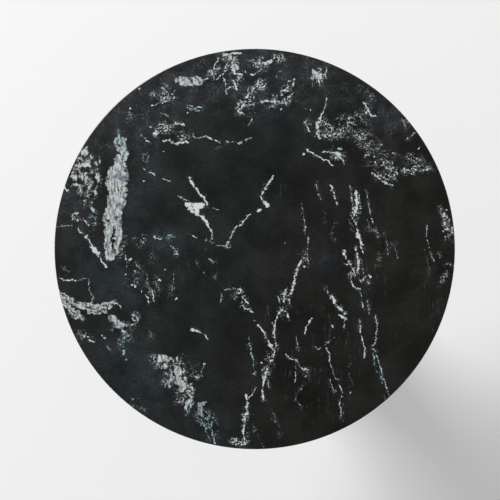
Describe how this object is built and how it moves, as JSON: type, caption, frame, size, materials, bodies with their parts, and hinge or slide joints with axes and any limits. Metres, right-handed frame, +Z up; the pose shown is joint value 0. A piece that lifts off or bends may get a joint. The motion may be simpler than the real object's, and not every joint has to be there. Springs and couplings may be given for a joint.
{
  "type": "round pedestal table",
  "caption": "Round black marble table on a steel column, with a flared cover over a cast ballast plate and levelling feet that screw in and out.",
  "frame": {"origin": "on the floor, at the column's axis", "axes": "+Z up along the column's axis. +X and +Y are level, and the four feet stand at 45 degrees to them. The table is the same at every quarter turn, apart from its hidden screws."},
  "size_m": [0.6099, 0.61, 0.75],
  "materials": {
    "black_marble": "honed",
    "black_powder_coat": "fine matt texture",
    "primed_iron": "as cast, grey-black primer",
    "zinc_plate": "bright zinc plate",
    "brass": "turned",
    "clear_silicone": "translucent milky",
    "black_rubber": "matt",
    "black_nylon": "moulded, lightly scuffed"
  },
  "bodies": {
    "table": {"marble_top": "black_marble", "stone_inserts": "brass", "silicone_bumpers": "clear_silicone", "top_screws": "zinc_plate", "top_washers": "zinc_plate", "top_plate": "black_powder_coat", "plate_hub": "black_powder_coat", "upper_locator": "black_powder_coat", "column_tube": "black_powder_coat", "tie_rod": "zinc_plate", "tie_washer": "zinc_plate", "tie_spring_washer": "zinc_plate", "tie_nut": "zinc_plate", "lower_locator": "zinc_plate", "locator_screws": "zinc_plate", "ballast_casting": "primed_iron", "anti_rattle_ring": "black_rubber", "base_cover": "black_powder_coat", "neck_collar": "black_powder_coat", "collar_set_screws": "zinc_plate"},
    "foot_1_pad": {"foot_pad_1": "black_nylon"},
    "foot_1_screw": {"foot_screw_1": "zinc_plate"},
    "foot_2_pad": {"foot_pad_2": "black_nylon"},
    "foot_2_screw": {"foot_screw_2": "zinc_plate"},
    "foot_3_pad": {"foot_pad_3": "black_nylon"},
    "foot_3_screw": {"foot_screw_3": "zinc_plate"},
    "foot_4_pad": {"foot_pad_4": "black_nylon"},
    "foot_4_screw": {"foot_screw_4": "zinc_plate"}
  },
  "joints": [
    {"name": "foot_1_height", "type": "slide", "parent": "table", "child": "foot_1_pad", "axis": [0, 0, -1], "range_m": [0, 0.008]},
    {"name": "foot_1_turn", "type": "hinge", "parent": "foot_1_pad", "child": "foot_1_screw", "pos_m": [0.11314, 0.11314, 0.004], "axis": [0, 0, -1], "range_deg": [0, 2305]},
    {"name": "foot_2_height", "type": "slide", "parent": "table", "child": "foot_2_pad", "axis": [0, 0, -1], "range_m": [0, 0.008]},
    {"name": "foot_2_turn", "type": "hinge", "parent": "foot_2_pad", "child": "foot_2_screw", "pos_m": [-0.11314, 0.11314, 0.004], "axis": [0, 0, -1], "range_deg": [0, 2305]},
    {"name": "foot_3_height", "type": "slide", "parent": "table", "child": "foot_3_pad", "axis": [0, 0, -1], "range_m": [0, 0.008]},
    {"name": "foot_3_turn", "type": "hinge", "parent": "foot_3_pad", "child": "foot_3_screw", "pos_m": [-0.11314, -0.11314, 0.004], "axis": [0, 0, -1], "range_deg": [0, 2305]},
    {"name": "foot_4_height", "type": "slide", "parent": "table", "child": "foot_4_pad", "axis": [0, 0, -1], "range_m": [0, 0.008]},
    {"name": "foot_4_turn", "type": "hinge", "parent": "foot_4_pad", "child": "foot_4_screw", "pos_m": [0.11314, -0.11314, 0.004], "axis": [0, 0, -1], "range_deg": [0, 2305]}
  ],
  "couplings": [
    {"joint": "foot_1_turn", "follows": "foot_1_height", "rad_per_m": 5026.5},
    {"joint": "foot_2_turn", "follows": "foot_2_height", "rad_per_m": 5026.5},
    {"joint": "foot_3_turn", "follows": "foot_3_height", "rad_per_m": 5026.5},
    {"joint": "foot_4_turn", "follows": "foot_4_height", "rad_per_m": 5026.5}
  ]
}
